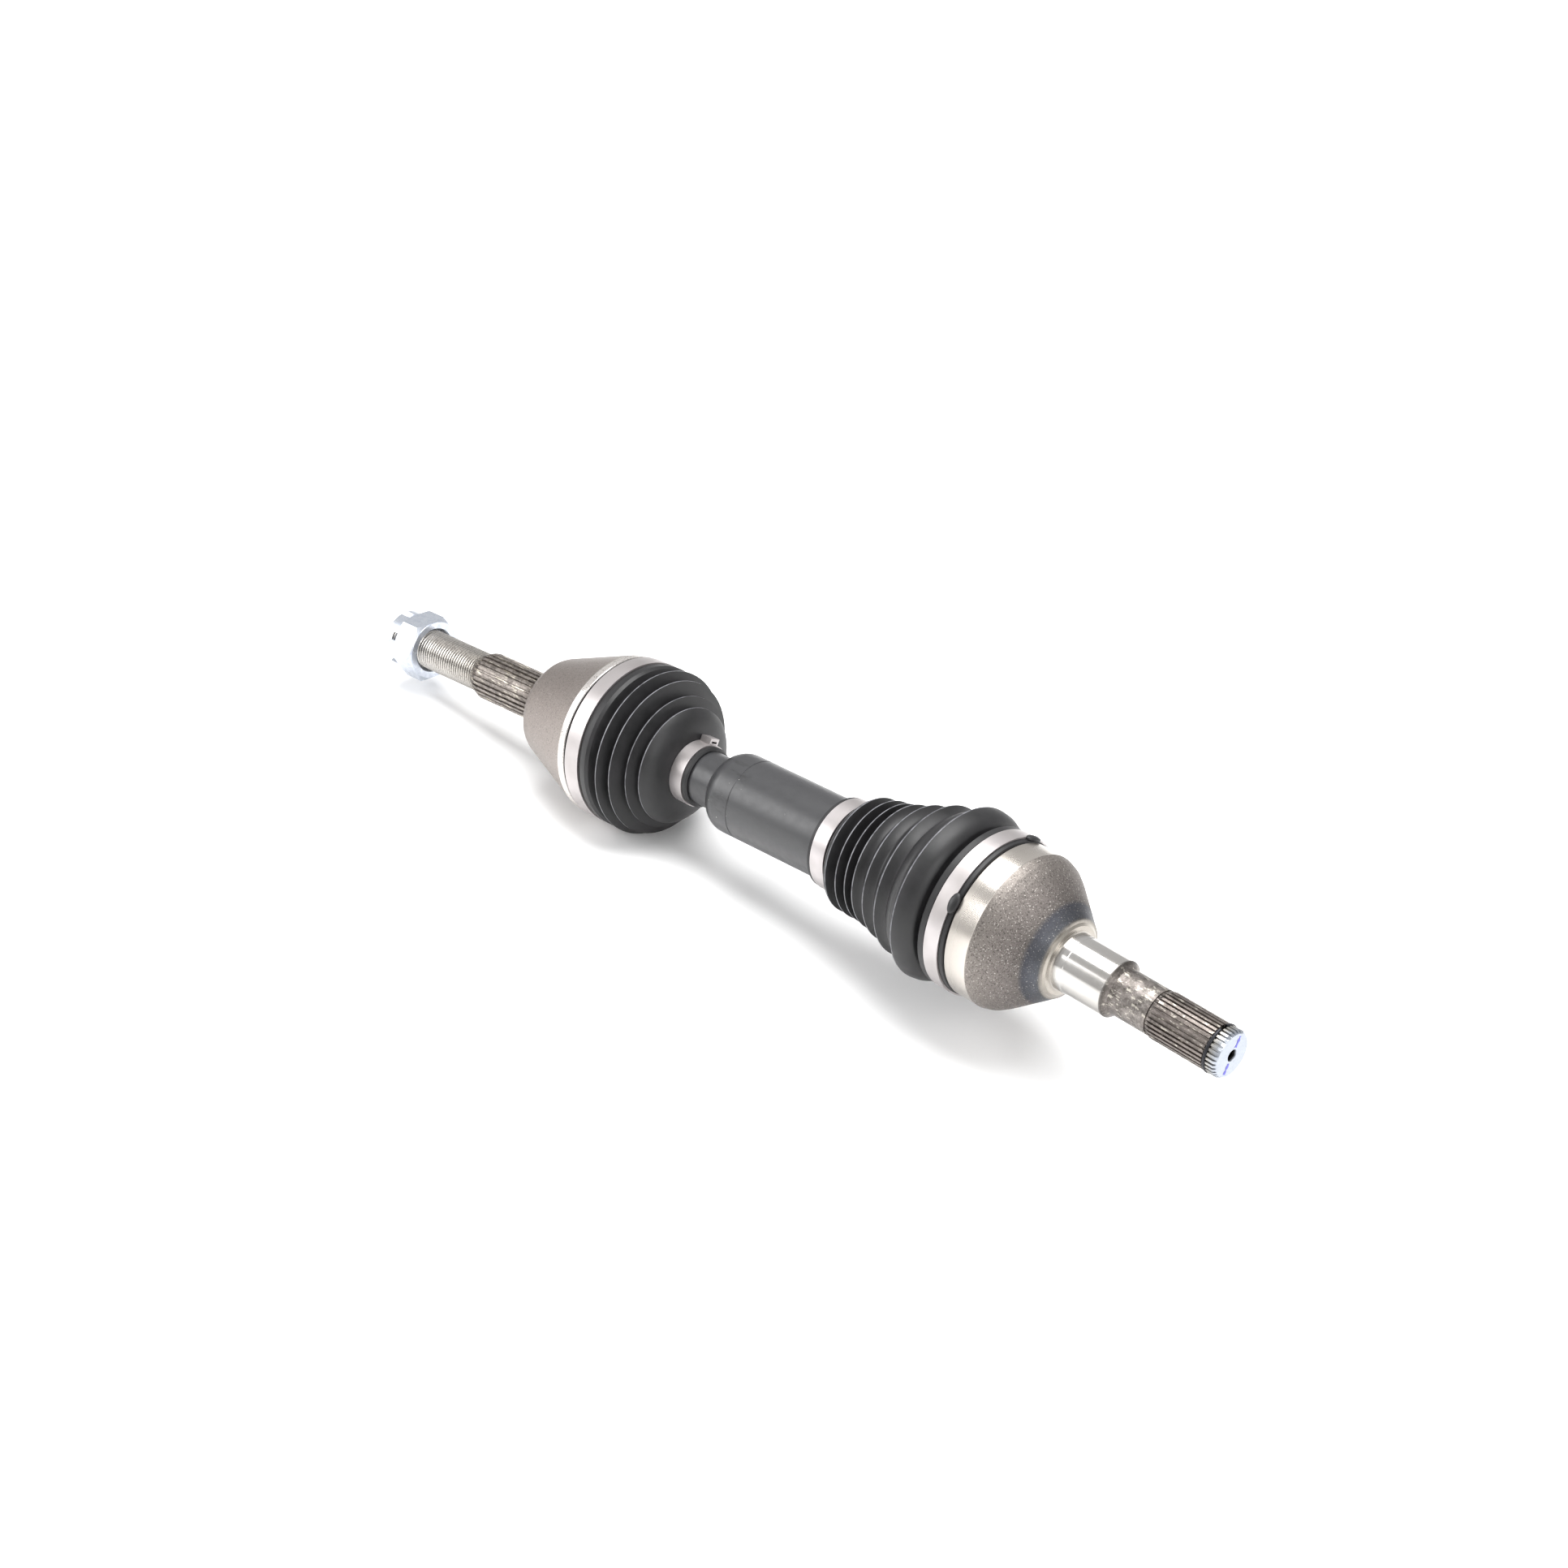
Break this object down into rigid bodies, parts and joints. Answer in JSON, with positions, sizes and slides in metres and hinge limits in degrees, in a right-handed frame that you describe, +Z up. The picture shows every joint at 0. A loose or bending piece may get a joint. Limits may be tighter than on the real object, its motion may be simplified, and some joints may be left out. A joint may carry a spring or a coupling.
{
  "type": "cv axle shaft",
  "caption": "Front-wheel half-shaft: fixed ball joint with splined, threaded wheel stub and castle nut, black bar, bellows boots, and plunging tripod joint with a splined gearbox stub.",
  "frame": {"origin": "on the gearbox stub's axis, where its seal journal starts beside the tripod housing", "axes": "+X along the gearbox stub towards the gearbox, +Z up, the bar and wheel stub drooping from -X"},
  "size_m": [0.641, 0.1016, 0.1248],
  "materials": {
    "tulip_steel": "shot-blasted forging with a turned band and a polished seal journal",
    "bell_steel": "forged and turned steel, lightly oiled",
    "bar_paint": "satin black paint",
    "boot_rubber": "satin black moulded elastomer",
    "clamp_steel": "bright stainless band",
    "nut_zinc": "bluish-white zinc plate",
    "ring_steel": "blackened spring steel",
    "bearing_steel": "ground and polished",
    "inner_steel": "hardened, greased"
  },
  "bodies": {
    "inner_housing": {"inner_housing": "tulip_steel", "stub_circlip": "ring_steel", "tripod_stop_ring": "ring_steel", "inner_boot_large_clamp": "clamp_steel"},
    "inner_boot": {"inner_boot": "boot_rubber"},
    "lead_roller": {"tripod_roller_1": "bearing_steel", "needle_rollers_1": "bearing_steel"},
    "axle_bar": {"tripod_spider": "inner_steel", "spider_snap_ring": "ring_steel", "trunnion_snap_rings": "ring_steel", "shaft_inner_end": "bar_paint", "shaft_tube": "bar_paint", "shaft_outer_end": "bar_paint", "inner_boot_small_clamp": "clamp_steel", "outer_boot_small_clamp": "clamp_steel", "outer_inner_race": "inner_steel", "race_snap_ring": "ring_steel"},
    "second_roller": {"tripod_roller_2": "bearing_steel", "needle_rollers_2": "bearing_steel"},
    "third_roller": {"tripod_roller_3": "bearing_steel", "needle_rollers_3": "bearing_steel"},
    "near_ball": {"outer_ball_1": "bearing_steel"},
    "cage": {"outer_cage": "inner_steel", "outer_ball_2": "bearing_steel", "outer_ball_3": "bearing_steel", "outer_ball_5": "bearing_steel", "outer_ball_6": "bearing_steel"},
    "far_ball": {"outer_ball_4": "bearing_steel"},
    "outer_housing": {"outer_housing": "bell_steel", "outer_boot_large_clamp": "clamp_steel", "outer_boot": "boot_rubber"},
    "hub_nut": {"hub_nut": "nut_zinc"}
  },
  "joints": [
    {"name": "inner_plunge", "type": "slide", "parent": "inner_housing", "child": "inner_boot", "axis": [1, 0, 0], "range_m": [-0.004, 0.008], "deforming": ["inner_boot"]},
    {"name": "inner_yaw", "type": "hinge", "parent": "inner_boot", "child": "lead_roller", "pos_m": [-0.047, 0, 0], "axis": [0, 0, 1], "range_deg": [-12, 12], "deforming": ["inner_boot"]},
    {"name": "inner_pitch", "type": "hinge", "parent": "lead_roller", "child": "axle_bar", "pos_m": [-0.047, 0, 0], "axis": [0, 1, 0], "range_deg": [-7, 17], "deforming": ["inner_boot"]},
    {"name": "second_roller_spin", "type": "hinge", "parent": "axle_bar", "child": "second_roller", "pos_m": [-0.04866, -0.011, 0.01898], "axis": [-0.0755, -0.5, 0.8627], "continuous": true},
    {"name": "third_roller_spin", "type": "hinge", "parent": "axle_bar", "child": "third_roller", "pos_m": [-0.04534, -0.011, -0.01898], "axis": [0.0755, -0.5, -0.8627], "continuous": true},
    {"name": "outer_yaw", "type": "hinge", "parent": "axle_bar", "child": "near_ball", "pos_m": [-0.35482, 0, -0.02693], "axis": [-0.0872, 0, 0.9962], "range_deg": [-15, 15], "deforming": ["outer_boot"]},
    {"name": "outer_pitch", "type": "hinge", "parent": "near_ball", "child": "cage", "pos_m": [-0.35482, 0, -0.02693], "axis": [0, 1, 0], "range_deg": [-14.3, 15.7], "deforming": ["outer_boot"]},
    {"name": "outer_pitch_second_half", "type": "hinge", "parent": "cage", "child": "far_ball", "pos_m": [-0.35482, 0, -0.02693], "axis": [0, 1, 0], "range_deg": [-14.3, 15.7], "deforming": ["outer_boot"]},
    {"name": "outer_yaw_second_half", "type": "hinge", "parent": "far_ball", "child": "outer_housing", "pos_m": [-0.35482, 0, -0.02693], "axis": [-0.1115, 0, 0.9938], "range_deg": [-15, 15], "deforming": ["outer_boot"]},
    {"name": "nut_turn", "type": "hinge", "parent": "outer_housing", "child": "hub_nut", "pos_m": [-0.52496, 0, -0.04602], "axis": [0.9938, 0, 0.1115], "continuous": true}
  ],
  "couplings": [
    {"joint": "outer_pitch_second_half", "follows": "outer_pitch", "ratio": 1},
    {"joint": "outer_yaw_second_half", "follows": "outer_yaw", "ratio": 1}
  ]
}
